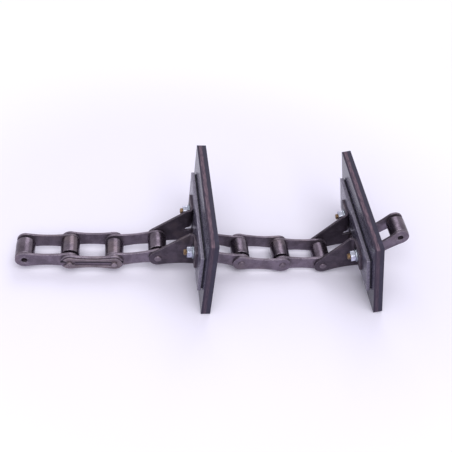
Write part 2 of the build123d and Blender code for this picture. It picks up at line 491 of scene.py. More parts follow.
def edge_value(w: Wiring) -> Socket:
    """Read how much of a rounded edge a face is."""
    return w.node("Attribute", attribute_name=EDGE_LAYER).outputs["Fac"]


@dataclass(frozen=True)
class SteelFinish(Finish):
    """Dark heat-treated steel: cloudy tone, peened skin, fine marks and rubbed edges.

    Attributes:
        dark: Tone in the clouds' low parts.
        light: Tone in their high parts.
        tint: Warm stain of old oil.
        bare: Colour of rubbed edges.
        metallic: Share of bare metal in the skin.
        roughness: Lowest and highest roughness.
        wear: How much of the edges is rubbed.
        relief: Depth of the peening.
        grain: How fast marks change along each axis, per millimetre.
        warmth: Share of the oil stain.
        mark_share: Strength of the marks.
        polish: How much smoother rubbed metal is.
    """

    dark: str = "#5f5562"
    light: str = "#7e7282"
    tint: str = "#5e4f45"
    bare: str = "#8f8794"
    metallic: float = 0.72
    roughness: Span = (0.42, 0.56)
    wear: float = 0.7
    relief: float = 0.05 * MM
    grain: Triple = (0.25, 6.0, 6.0)
    warmth: float = 0.3
    mark_share: float = 0.35
    polish: float = 0.12

    def wire(self, w: Wiring, shader: bpy.types.Node, place: Matrix) -> None:
        """Wire tone, roughness, metal and relief.

        Args:
            w: The material's wiring.
            shader: Its Principled node.
            place: Frame that the marks follow.
        """
        at = w.coordinates(place)
        tone, clouds = MOTTLE.put(w, {
            "Place": at, "Dark": linear(self.dark), "Light": linear(self.light),
            "Tint": linear(self.tint), "Warmth": self.warmth,
        })
        marks = SCRATCHES.put(w, {"Place": w.stretched(at, self.grain)})[0]
        worn = WEAR.put(w, {"Place": at, "Edge": edge_value(w), "Amount": self.wear})[0]
        bright = w.maths("MAXIMUM", worn, w.product(marks, self.mark_share))
        low, high = self.roughness
        matt = w.remap(clouds, 0.0, 1.0, high, low)
        height = PEENING.put(w, {"Place": at})[0]
        bump = w.node("Bump", {"Height": height, "Strength": 0.5, "Distance": self.relief})
        w.feed(shader, {
            "Base Color": w.mixed(bright, tone, linear(self.bare)),
            "Metallic": self.metallic,
            "Roughness": w.maths("SUBTRACT", matt, w.product(bright, self.polish)),
            "Normal": bump.outputs[0],
        })


@dataclass(frozen=True)
class SheetFinish(SteelFinish):
    """Hot-rolled plate with its dark skin on both faces and a paler sheared edge between them.

    Attributes:
        front: Where the plate starts through its thickness, in millimetres.
        thickness: Its thickness in millimetres.
        top: Height of its upper edge, in millimetres; not used.
        cut: Colour of the sheared edge.
        edge: Where the cut starts to show and where it has, from each face, in millimetres.
        torn: Least share of the cut's colour where the shear tore the steel.
    """

    front: float = 34.1
    thickness: float = 3.2
    top: float = 44.9
    cut: str = "#7d7788"
    edge: Span = (0.05, 0.5)
    torn: float = 0.25

    def wire(self, w: Wiring, shader: bpy.types.Node, place: Matrix) -> None:
        """Wire the plate's skin, then lay the sheared edge over it.

        Args:
            w: The material's wiring.
            shader: Its Principled node.
            place: The link's frame.
        """
        super().wire(w, shader, place)
        skin = shader.inputs["Base Color"].links[0].from_socket
        at = w.coordinates(place)
        depth = w.node("SeparateXYZ", {0: at}).outputs["X"]
        (hidden, shown), back = self.edge, self.front + self.thickness
        inside = w.within(depth, (self.front + hidden, self.front + shown), (back - shown, back - hidden))
        tears = w.noise(w.stretched(at, (1.6, 0.22, 0.22)), 1.0, detail=4.0, roughness=0.7)
        tear_edge = 0.3, 0.62
        share = w.product(inside, w.remap(tears, *tear_edge, self.torn, 1.0))
        w.feed(shader, {"Base Color": w.mixed(share, skin, linear(self.cut))})


@dataclass(frozen=True)
class SlotShadePlateFinish(SteelFinish):
    """Plate steel with painted shade in the spring clip's slot, under its upper leg: the leg's shadow on the
    plate, painted dark.

    Attributes:
        reach: From the pin line to the slot's upper edge, in millimetres.
        below: Where the painted shade starts and where it is full, from the pin line, in millimetres.
        soft: How far it thins out above the slot, in millimetres.
        outer: From the middle plane to the face that the clip lies on, in millimetres.
        skin: How far under that face the colour starts and ends, in millimetres.
        oil: Colour of the painted shade.
        cover: Share of the painted shade in the colour.
    """

    reach: float = 2.97
    below: Span = (-0.9, 0.7)
    soft: float = 0.5
    outer: float = 16.415
    skin: Span = (0.2, 0.1)
    # Painted shade colour for the clip leg's shadow in the slot, near black.
    oil: str = "#1b151e"
    cover: float = 0.92

    def wire(self, w: Wiring, shader: bpy.types.Node, place: Matrix) -> None:
        """Wire the steel, then lay the painted shade over it.

        Args:
            w: The material's wiring.
            shader: Its Principled node.
            place: The link's frame.
        """
        super().wire(w, shader, place)
        steel = shader.inputs["Base Color"].links[0].from_socket
        axes = w.node("SeparateXYZ", {0: w.coordinates(place)}).outputs
        # Painted shade: darken the slot's upper part under the clip's upper leg, in place of the leg's shadow
        # on the plate.
        under_leg_shade = w.within(axes["Z"], self.below, (self.reach, self.reach + self.soft), self.cover)
        on_face = w.remap(axes["Y"], *(under - self.outer for under in self.skin))
        w.feed(shader, {"Base Color": w.mixed(w.product(under_leg_shade, on_face), steel, linear(self.oil))})


@dataclass(frozen=True)
class PlatedFinish(Finish):
    """Zinc plating: bright, faintly streaked and dulled by handling.

    Attributes:
        clean: Colour of clean plating.
        dull: Colour where it is stained.
        roughness: Lowest and highest roughness.
        stain: Share of the stain.
        grain: How fast the streaks change along each axis, per millimetre.
        dimples: Density of the fine relief.
        relief: Its depth.
        dulling: How much rougher a streak is.
    """

    clean: str = "#c9cbdb"
    dull: str = "#888ba0"
    roughness: Span = (0.14, 0.3)
    stain: float = 0.55
    grain: Triple = (8.0, 1.2, 1.2)
    dimples: float = 4.0
    relief: float = 0.02 * MM
    dulling: float = 0.12

    def wire(self, w: Wiring, shader: bpy.types.Node, place: Matrix) -> None:
        """Wire tone, roughness and a fine relief.

        Args:
            w: The material's wiring.
            shader: Its Principled node.
            place: Frame of the plating's streaks.
        """
        at = w.coordinates(place)
        tone, clouds = MOTTLE.put(w, {
            "Place": at, "Dark": linear(self.dull), "Light": linear(self.clean),
            "Tint": linear(self.dull), "Warmth": self.stain,
        })
        marks = SCRATCHES.put(w, {"Place": w.stretched(at, self.grain)})[0]
        low, high = self.roughness
        matt = w.remap(clouds, 0.0, 1.0, high, low)
        height = PEENING.put(w, {"Place": at, "Density": self.dimples})[0]
        bump = w.node("Bump", {"Height": height, "Strength": 0.35, "Distance": self.relief})
        w.feed(shader, {
            "Base Color": tone,
            "Metallic": 1.0,
            "Roughness": w.maths("ADD", matt, w.product(marks, self.dulling)),
            "Normal": bump.outputs[0],
        })


@dataclass(frozen=True)
class BeltingFinish(Finish):
    """Rubber belting: a smooth dark cover on both faces and fabric plies that show on the cut edges.

    Attributes:
        front: Where the rubber starts through its thickness, in millimetres.
        thickness: Its thickness in millimetres.
        top: Height of the scuffed top edge, in millimetres.
        cover: Colour of the cover.
        bloom: Colour of the pale bloom on it.
        core: Colour of the rubber behind the plies.
        seat_shade: Painted shade: a darker colour on the raised seat under the backing plate, for the shadow
            between plate and rubber.
        ply: Colour of the fabric.
        ply_band: Where the plies start and end, as shares of the thickness.
        sway: How far the plies sway, as a share of the thickness.
        scuffs: Where scuffs start and where they are full, below the top edge, in millimetres.
        skin: Gloss of the moulded skin on both faces.
        skin_roughness: Roughness of that skin.
        roughness: Roughness of the faces and of the cut edges.
        relief: Depth of the threads and the grain.
    """

    front: float = 38.4
    thickness: float = 8.8
    top: float = 71.1
    cover: str = "#2a273a"
    bloom: str = "#423e54"
    core: str = "#291d31"
    # Painted shade on the raised seat, darker than the cover.
    seat_shade: str = "#15111b"
    ply: str = "#735d6a"
    ply_band: Span = (0.19, 0.54)
    sway: float = 0.16
    scuffs: Span = (2.0, 0.6)
    skin: float = 0.12
    skin_roughness: float = 0.16
    roughness: Span = (0.26, 0.6)
    relief: float = 0.12 * MM

    def fabric(self, w: Wiring, layer: Socket, threads: Socket, height: Socket) -> Socket:
        """Make the mask of the fabric that shows on the cut edges.

        Args:
            w: The material's wiring.
            layer: Place through the thickness, swaying along the edge.
            threads: Noise along the threads.
            height: Place above the pin line.

        Returns:
            The mask.
        """
        (start, end), fray, thread_edge, least_scuffed = self.ply_band, 0.05, (0.36, 0.62), 0.3
        band = w.within(layer, (start - 0.6 * fray, start + fray), (end - fray, end + fray))
        worn, full = self.scuffs
        scuffed = w.remap(height, self.top - worn, self.top - full, least_scuffed, 1.0)
        return w.product(band, w.remap(threads, *thread_edge), scuffed)

    def dust(self, w: Wiring, at: Socket) -> Socket:
        """Make the mask of the pale dust on the cover: streaks up the paddle, in clouds.

        Args:
            w: The material's wiring.
            at: Place in the link's frame.

        Returns:
            The mask.
        """
        streak_edge, cloud_scale, cloud_edge = (0.45, 0.75), 0.06, (0.4, 0.7)
        streaks = w.noise(w.stretched(at, (0.2, 0.5, 0.05)), 1.0, detail=4.0, roughness=0.6)
        clouds = w.noise(at, cloud_scale, detail=4.0)
        return w.product(w.remap(streaks, *streak_edge), w.remap(clouds, *cloud_edge))

    def wire(self, w: Wiring, shader: bpy.types.Node, place: Matrix) -> None:
        """Wire the cover, the plies on the cut edges, the painted shade on the seat, sheen and relief.

        Args:
            w: The material's wiring.
            shader: Its Principled node.
            place: The link's frame.
        """
        at = w.coordinates(place)
        axes = w.node("SeparateXYZ", {0: at}).outputs
        sway = w.maths("SUBTRACT", w.noise(w.stretched(at, (0.0, 0.09, 0.09)), 1.0, detail=2.0), 0.5)
        depth = w.maths("DIVIDE", w.maths("SUBTRACT", axes["X"], self.front), self.thickness)
        layer = w.maths("ADD", depth, w.product(sway, self.sway))
        threads = w.noise(w.stretched(at, (2.6, 0.11, 0.11)), 1.0, detail=4.0, roughness=0.6)
        edge = w.within(depth, (0.0, 0.04), (0.96, 1.0))
        slab = w.remap(depth, -0.04, -0.01)
        dusty = self.dust(w, at)
        face = w.mixed(dusty, linear(self.cover), linear(self.bloom))
        core_share = w.remap(layer, 0.5, 0.62, 0.75, 0.1)
        cut = w.mixed(core_share, face, linear(self.core))
        # Painted shade: where slab is 0, on the raised seat under the backing plate, the rubber takes the
        # dark seat_shade colour in place of the shadow there.
        rubber = w.mixed(slab, linear(self.seat_shade), w.mixed(edge, face, cut))
        thread_height, grain_scale, grain_height = 1.6, 2.2, (0.03, 0.35)
        coarse = w.product(threads, w.product(edge, thread_height))
        grain = w.noise(at, grain_scale, detail=4.0, roughness=0.7)
        fine = w.product(grain, w.remap(edge, 0.0, 1.0, *grain_height))
        bump = w.node("Bump", {
            "Height": w.maths("ADD", coarse, fine), "Strength": 0.6, "Distance": self.relief,
        })
        on_face = w.maths("MINIMUM", slab, w.maths("SUBTRACT", 1.0, edge))
        smooth, rough = self.roughness
        matt = w.remap(on_face, 0.0, 1.0, rough, smooth)
        w.feed(shader, {
            "Base Color": w.mixed(self.fabric(w, layer, threads, axes["Z"]), rubber, linear(self.ply)),
            "Metallic": 0.0,
            "Specular IOR Level": 0.28,
            "Coat Weight": w.product(w.remap(edge, 0.0, 1.0, self.skin, 0.0), slab),
            "Coat Roughness": self.skin_roughness,
            "Roughness": w.maths("ADD", matt, w.product(dusty, 0.1)),
            "Normal": bump.outputs[0],
        })


@dataclass(frozen=True)
class FloorFinish(Finish):
    """A pale paper floor that turns white away from the chain.

    Attributes:
        paper: Colour near the chain.
        far: Colour away from it.
        reach: Where the change starts and ends, in metres from the middle.
        fade: Where the floor starts to fade into white surroundings and where it has, in metres.
        glow: How much light that fade adds where the lamps no longer reach.
    """

    paper: str = "#f1eefb"
    far: str = "#fefefe"
    reach: Span = (0.2, 0.42)
    fade: Span = (0.35, 1.6)
    glow: float = 0.42

    def wire(self, w: Wiring, shader: bpy.types.Node, place: Matrix) -> None:
        """Wire the floor's colour and roughness.

        Args:
            w: The material's wiring.
            shader: Its Principled node.
            place: Not used: the floor lies in the row frame.
        """
        at = w.node("TexCoord").outputs["Object"]
        distance = w.node("VectorMath", {0: at}, operation="LENGTH").outputs["Value"]
        share = w.remap(distance, *self.reach)
        faded = w.product(w.remap(distance, *self.fade), self.glow, w.seen())
        w.feed(shader, {
            "Base Color": w.mixed(share, linear(self.paper), linear(self.far)),
            "Emission Color": w.mixed(faded, linear("#000000"), linear("#ffffff")),
            "Emission Strength": 1.0,
            "Roughness": 0.9,
            "Specular IOR Level": 0.1,
        })


PLATE_STEEL = SteelFinish("plate_steel_finish", "plate_steel")
# Painted shade: the attachment plates get a darker steel than the link plates, in place of the shade that the
# paddles throw on them.
SHADED_ATTACHMENT_STEEL = SteelFinish("attachment_steel_finish", "attachment_steel", dark="#3e3641", light="#544a57")
# The clip link's front plate, with painted shade in the clip's slot under the upper leg.
CLIP_PLATE_STEEL = SlotShadePlateFinish("oiled_plate_finish", "plate_steel")
TURNED_GRAIN = (0.3, 7.0, 0.3)
ROLLER_STEEL = SteelFinish(
    "roller_steel_finish", "roller_steel", dark="#4c434f", light="#716675", metallic=0.92,
    roughness=(0.24, 0.34), grain=TURNED_GRAIN,
)
BUSH_STEEL = SteelFinish("bush_steel_finish", "bush_steel", roughness=(0.34, 0.46), grain=TURNED_GRAIN)
PIN_STEEL = SteelFinish(
    "pin_steel_finish", "pin_steel", dark="#5f5560", light="#7c707c", tint="#6a5a55", warmth=0.25,
    roughness=(0.34, 0.48), grain=TURNED_GRAIN,
)
CLIP_PIN_STEEL = replace(PIN_STEEL, name="clip_pin_steel_finish", dark="#6b6067", light="#8e828c")
CLIP_STEEL = SteelFinish(
    "clip_steel_finish", "clip_steel", dark="#635960", light="#85787f", tint="#6e605c", warmth=0.35,
    roughness=(0.32, 0.45),
)
BACKING_STEEL = SheetFinish(
    "backing_steel_finish", "backing_steel", dark="#524e61", light="#6b6779", tint="#585160",
    metallic=0.4, roughness=(0.24, 0.36), wear=0.5, grain=(0.3, 0.4, 5.0), mark_share=0.15,
)
BELTING = BeltingFinish("paddle_rubber_finish", "paddle_rubber")
NUT_ZINC = PlatedFinish("nut_zinc_finish", "nut_zinc")
WASHER_ZINC = PlatedFinish(
    "washer_zinc_finish", "washer_zinc", clean="#b3b9c6", dull="#7d8290", roughness=(0.3, 0.48),
)
BOLT_ZINC = PlatedFinish(
    "bolt_zinc_finish", "bolt_zinc", clean="#b59c7c", dull="#7c6655", roughness=(0.3, 0.45), stain=0.6,
)


# ------------------------------------------------------------ shaping
@dataclass
class Blank:
    """A mesh being shaped, with a layer that remembers its rounded edges.

    Attributes:
        mesh: The mesh's working data.
    """

    mesh: bmesh.types.BMesh = field(default_factory=bmesh.new)

    @classmethod
    def from_node(cls, node: str, place: Matrix) -> "Blank":
        """Take a clean copy of a CAD node into a link's own frame.

        Args:
            node: The node's name.
            place: The link's matrix to the row frame.

        Returns:
            The copy, with its doubled points merged and its flat faces whole.
        """
        blank = cls()
        blank.mesh.from_mesh(frame["nodes"][node].data)
        bmesh.ops.transform(blank.mesh, matrix=place.inverted(), verts=blank.mesh.verts)
        bmesh.ops.remove_doubles(blank.mesh, verts=blank.mesh.verts, dist=WELD)
        bmesh.ops.dissolve_limit(
            blank.mesh, angle_limit=LEVEL, verts=blank.mesh.verts, edges=blank.mesh.edges
        )
        return blank

    @classmethod
    def turned(cls, profile: Sequence[Corner], closed: bool = False, steps: int = 64) -> "Blank":
        """Turn a profile round the Y axis.

        Args:
            profile: Radius and place along Y of each corner.
            closed: Whether the last corner joins the first, as on a ring.
            steps: Facets round the piece.

        Returns:
            The turned blank.
        """
        blank = cls()
        corners = [blank.mesh.verts.new((radius, along, 0.0)) for radius, along in profile]
        pairs = list(zip(corners, corners[1:])) + ([(corners[-1], corners[0])] if closed else [])
        edges = [blank.mesh.edges.new(pair) for pair in pairs]
        bmesh.ops.spin(
            blank.mesh, geom=corners + edges, cent=ORIGIN, axis=(0, 1, 0), dvec=ORIGIN, angle=math.tau,
            steps=steps, use_merge=True,
        )
        bmesh.ops.remove_doubles(blank.mesh, verts=blank.mesh.verts, dist=WELD)
        bmesh.ops.recalc_face_normals(blank.mesh, faces=blank.mesh.faces)
        return blank

    @classmethod
    def threaded(cls, crest: float, root: float, pitch: float, start: float, end: float) -> "Blank":
        """Wind a screw thread round the Y axis and cut it square at both ends.

        Args:
            crest: Radius of the thread's crests.
            root: Radius of its roots.
            pitch: Rise of one turn.
            start: Where the thread starts along Y.
            end: Where it ends.

        Returns:
            The threaded blank, closed at both ends and pointed at its start.
        """
        blank = cls()
        mesh, per_turn = blank.mesh, 24
        turns = math.ceil((end - start) / pitch) + 2
        flank = ((root, 0.0), (crest, 0.42), (crest, 0.58), (root, 1.0))
        corners = [mesh.verts.new((radius, start - pitch + share * pitch, 0.0)) for radius, share in flank]
        edges = [mesh.edges.new(pair) for pair in zip(corners, corners[1:])]
        bmesh.ops.spin(
            mesh, geom=corners + edges, cent=ORIGIN, axis=(0, 1, 0), dvec=(0, pitch / per_turn, 0),
            angle=math.tau * turns, steps=per_turn * turns,
        )
        bmesh.ops.remove_doubles(mesh, verts=mesh.verts, dist=2 * WELD)
        for at, side in ((start, -1), (end, 1)):
            bmesh.ops.bisect_plane(
                mesh, geom=blank.everything, plane_co=(0, at, 0), plane_no=(0, side, 0), clear_outer=True
            )
        bmesh.ops.holes_fill(mesh, edges=[edge for edge in mesh.edges if edge.is_boundary], sides=0)
        for vert in mesh.verts:
            radius, most = math.hypot(vert.co.x, vert.co.z), root * 0.9 + (vert.co.y - start)
            if radius > most:
                vert.co.x, vert.co.z = vert.co.x * most / radius, vert.co.z * most / radius
        bmesh.ops.recalc_face_normals(mesh, faces=mesh.faces)
        return blank

    @property
    def everything(self) -> list[bmesh.types.BMVert | bmesh.types.BMEdge | bmesh.types.BMFace]:
        """All of the mesh's points, edges and faces."""
        return list(self.mesh.verts) + list(self.mesh.edges) + list(self.mesh.faces)

    def soften(
        self, width: float, segments: int = 2, wanted: Callable[[bmesh.types.BMEdge], bool] | None = None
    ) -> "Blank":
        """Round the crisp edges and remember the faces that this makes.

        Args:
            width: How far the rounding reaches from each edge.
            segments: Facets across it.
            wanted: Picks some of the crisp edges, or nothing for all.

        Returns:
            The blank itself.
        """
        mesh = self.mesh
        layer = mesh.loops.layers.float.get(EDGE_LAYER) or mesh.loops.layers.float.new(EDGE_LAYER)
        crisp = [
            edge for edge in mesh.edges
            if edge.is_manifold and edge.calc_face_angle() > FACETED and (wanted is None or wanted(edge))
        ]
        made = bmesh.ops.bevel(
            mesh, geom=crisp, offset=width, offset_type="OFFSET", segments=segments, profile=0.5,
            affect="EDGES", material=-1, clamp_overlap=True, loop_slide=True,
        )
        for face in made["faces"]:
            for loop in face.loops:
                loop[layer] = 1.0
        return self

    def hexed(self, across: float, chamfered: Sequence[tuple[float, int]], corner: float) -> "Blank":
        """Push a turned blank's widest ring out to a hexagon whose corners are cut back by a chamfer.

        Args:
            across: Distance across the flats.
            chamfered: Where each chamfered end's ring is along Y, and the sign that points into the piece.
            corner: Angle of one corner of the hexagon.

        Returns:
            The blank itself.
        """
        half, slope = across / 2, math.tan(math.radians(30))
        for vert in self.mesh.verts:
            radius = math.hypot(vert.co.x, vert.co.z)
            if radius < 0.999 * half:
                continue
            turn = (math.atan2(vert.co.z, vert.co.x) - corner) % (math.pi / 3) - math.pi / 6
            out = half / math.cos(turn)
            inward = next((sign for at, sign in chamfered if abs(vert.co.y - at) < 0.01 * MM), 0)
            vert.co.x, vert.co.z = vert.co.x * out / radius, vert.co.z * out / radius
            vert.co.y += inward * (out - half) * slope
        return self

    def moved(self, matrix: Matrix) -> "Blank":
        """Move or turn the whole blank."""
        bmesh.ops.transform(self.mesh, matrix=matrix, verts=self.mesh.verts)
        return self

    def joined(self, other: "Blank") -> "Blank":
        """Add another blank's shell to this one and drop the other.

        Args:
            other: The blank that is added.

        Returns:
            The blank itself.
        """
        carrier = bpy.data.meshes.new("carrier")
        other.mesh.to_mesh(carrier)
        other.mesh.free()
        self.mesh.from_mesh(carrier)
        bpy.data.meshes.remove(carrier)
        return self

    def paired(self, apart: Vector) -> "Blank":
        """Add a second copy of everything.

        Args:
            apart: How far the copy is moved.

        Returns:
            The blank itself.
        """
        copy = bmesh.ops.duplicate(self.mesh, geom=self.everything)
        moved = [item for item in copy["geom"] if isinstance(item, bmesh.types.BMVert)]
        bmesh.ops.translate(self.mesh, vec=apart, verts=moved)
        return self

    def finish(
        self, node: str, place: Matrix, finish: Finish, frame_place: Matrix | None = None, suffix: str = ""
    ) -> bpy.types.Object:
        """Hand the blank over as the finished piece that stands for a CAD node.

        Args:
            node: The CAD node that it replaces.
            place: Matrix from the blank's frame to the row frame.
            finish: Its surface finish.
            frame_place: Frame that the finish's pattern follows, if it has one of its own.
            suffix: The material's name ending for that frame.

        Returns:
            The finished object.
        """
        self.moved(place)
        data = bpy.data.meshes.new(node + "_finished")
        self.mesh.to_mesh(data)
        self.mesh.free()
        data.shade_smooth()
        data.set_sharp_from_angle(angle=FACETED)
        data.materials.append(finish.material(frame_place, suffix))
        piece = bpy.data.objects.new(node + "_finished", data)
        bpy.context.scene.collection.objects.link(piece)
        evened = piece.modifiers.new("evened_shading", "WEIGHTED_NORMAL")
        evened.keep_sharp = True
        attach(piece, body_of(node))
        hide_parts(node)
        LOG.info("%s: %d faces, rides on %s", piece.name, len(data.polygons), body_of(node))
        return piece


# ------------------------------------------------------------ sub-assemblies
@dataclass
class SidePlates:
    """A link's two side plates, with edges rolled by the punch.

    Attributes:
        link: The link.
        face_round: Rounding on the outer face.
        burr_round: Rounding on the inner face.
        attachment_round: Rounding of the bent attachment plates.
    """

    link: Link
    face_round: float = 0.45 * MM
    burr_round: float = 0.2 * MM
    attachment_round: float = 0.4 * MM

    def build(self) -> None:
        """Build the front and the back plate."""
        for side in ("front", "back"):
            node = f"{self.link.name}_plate_{side}"
            blank = Blank.from_node(node, self.link.place)
            if self.link.kind is Kind.ATTACH:
                blank.soften(self.attachment_round, 3)
                blank.finish(node, self.link.place, SHADED_ATTACHMENT_STEEL)
                continue
            outer = max(abs(vert.co.y) for vert in blank.mesh.verts)

            def on_outer_face(edge: bmesh.types.BMEdge, reach: float = outer) -> bool:
                """Tell whether an edge lies on the outer face."""
                return all(abs(abs(vert.co.y) - reach) < TOUCH for vert in edge.verts)

            blank.soften(self.face_round, 3, on_outer_face)
            blank.soften(self.burr_round, 2, lambda edge: not on_outer_face(edge))
            if self.link.kind is Kind.CLIP and side == "front":
                blank.finish(node, self.link.place, CLIP_PLATE_STEEL, self.link.place)
            else:
                blank.finish(node, self.link.place, PLATE_STEEL)


@dataclass
class RollerPair:
    """The bushes and rollers at both ends of an inner link.

    Attributes:
        link: The link.
        bush_radius: Outside radius of a bush.
        bore: Radius of its bore.
        bush_round: Rounding of a bush's corners.
        roller_radius: Outside radius of a roller.
        roller_bore: Radius of its bore.
        roller_round: Rounding of its corners.
    """

    link: Link
    bush_radius: float = 4.45 * MM
    bore: float = 2.93 * MM
    bush_round: float = 0.3 * MM
    roller_radius: float = 8.89 * MM
    roller_bore: float = 4.51 * MM
    roller_round: float = 0.7 * MM

    def build(self) -> None:
        """Build both bushes and both rollers."""
        for side in Side:
            end = side.name.lower()
            self.tube(f"bush_{end}", side, self.bush_radius, self.bore, self.bush_round, BUSH_STEEL)
            self.tube(
                f"roller_{end}", side, self.roller_radius, self.roller_bore, self.roller_round, ROLLER_STEEL
            )

    def tube(
        self, what: str, side: Side, radius: float, bore: float, rounding: float, finish: Finish
    ) -> None:
        """Turn a tube as long as its CAD node.

        Args:
            what: The node's name without the link's.
            side: Which end it sits at.
            radius: Its outside radius.
            bore: Its bore's radius.
            rounding: How far its corners are rounded.
            finish: Its surface finish.
        """
        low, high = self.link.extent(what)
        blank = Blank.turned([(bore, low.y), (radius, low.y), (radius, high.y), (bore, high.y)], closed=True)
        blank.soften(rounding, 3).finish(f"{self.link.name}_{what}", self.link.spindle_place(side), finish)


def crowned(radius: float, top: float, steps: Sequence[Corner]) -> list[Corner]:
    """Give the corners of a turned piece's rounded edge.

    Args:
        radius: The piece's radius.
        top: How high it ends.
        steps: How far in from the radius and down from the top each corner is.

    Returns:
        Radius and height of each corner.
    """
    return [(radius - inward, top - down) for inward, down in steps]


@dataclass
class Pins:
    """The two pins of an outer link: riveted over, or grooved for the spring clip.

    Attributes:
        link: The link.
        radius: The pin's radius.
        head_radius: Radius of an upset end.
        head_height: Height of an upset end.
        ring: Inner and outer radius of the ring that the riveting tool leaves.
        ring_depth: Its depth.
        head_crown: Its rounded edge, as steps in from its radius and down from its top.
        groove_radius: Radius in the clip's groove.
        groove_width: Width of the groove.
        tail: Length of the pin beyond the groove.
        tail_crown: The tail's rounded edge, as such steps.
        centre_mark: Radius and depth of each corner of the lathe's mark in its end.
    """

    link: Link
    radius: float = 2.87 * MM
    head_radius: float = 3.4 * MM
    head_height: float = 1.0 * MM
    ring: Span = (1.7 * MM, 2.5 * MM)
    ring_depth: float = 0.22 * MM
    head_crown: tuple[Corner, ...] = ((0.0, 0.5 * MM), (0.3 * MM, 0.14 * MM), (0.75 * MM, 0.0))
    groove_radius: float = 2.25 * MM
    groove_width: float = 1.3 * MM
    tail: float = 2.0 * MM
    tail_crown: tuple[Corner, ...] = ((0.0, 0.6 * MM), (0.25 * MM, 0.2 * MM), (0.7 * MM, 0.0))
    centre_mark: tuple[Corner, ...] = ((0.55 * MM, 0.0), (0.35 * MM, 0.25 * MM), (0.0, 0.3 * MM))

    @property
    def plate_face(self) -> float:
        """From the middle plane to the outer plates' outer face, under the back heads."""
        return self.link.extent("pin_left")[1].y - self.head_height

    def riveted_end(self) -> list[Corner]:
        """Corners of an upset end, from the shank out to the middle.

        Returns:
            Radius and height above the middle plane of each corner.
        """
        top, (inner, outer) = self.plate_face + self.head_height, self.ring
        middle = (inner + outer) / 2
        return [
            (self.radius, self.plate_face - 0.3 * MM), (self.head_radius, self.plate_face),
            *crowned(self.head_radius, top, self.head_crown),
            (outer, top - 0.02 * MM), (middle, top - self.ring_depth), (inner, top - 0.04 * MM),
            (inner * 0.6, top), (0.0, top),
        ]

    def grooved_end(self) -> list[Corner]:
        """Corners of the end that holds the clip, from the shank out to the middle.

        Returns:
            Radius and height above the middle plane of each corner.
        """
        groove_end = self.plate_face + self.groove_width
        top = groove_end + self.tail
        return [
            (self.radius, self.plate_face), (self.groove_radius, self.plate_face),
            (self.groove_radius, groove_end), (self.radius, groove_end),
            *crowned(self.radius, top, self.tail_crown),
            *((radius, top - depth) for radius, depth in self.centre_mark),
        ]

    def build(self) -> None:
        """Build the left and the right pin."""
        front, steel = self.riveted_end(), PIN_STEEL
        if self.link.kind is Kind.CLIP:
            front, steel = self.grooved_end(), CLIP_PIN_STEEL
        profile = [(radius, -along) for radius, along in reversed(front)] + self.riveted_end()
        for side in Side:
            blank = Blank.turned(profile, steps=48)
            blank.finish(f"{self.link.name}_pin_{side.name.lower()}", self.link.spindle_place(side), steel)


@dataclass
class SpringClip:
    """The spring clip of the connecting link.

    Attributes:
        link: The connecting link.
        edge_round: Rounding of its stamped edges.
    """

    link: Link
    edge_round: float = 0.3 * MM

    def build(self) -> None:
        """Build the clip."""
        node = f"{self.link.name}_spring"
        blank = Blank.from_node(node, self.link.place).soften(self.edge_round, 3)
        blank.finish(node, self.link.place, CLIP_STEEL)


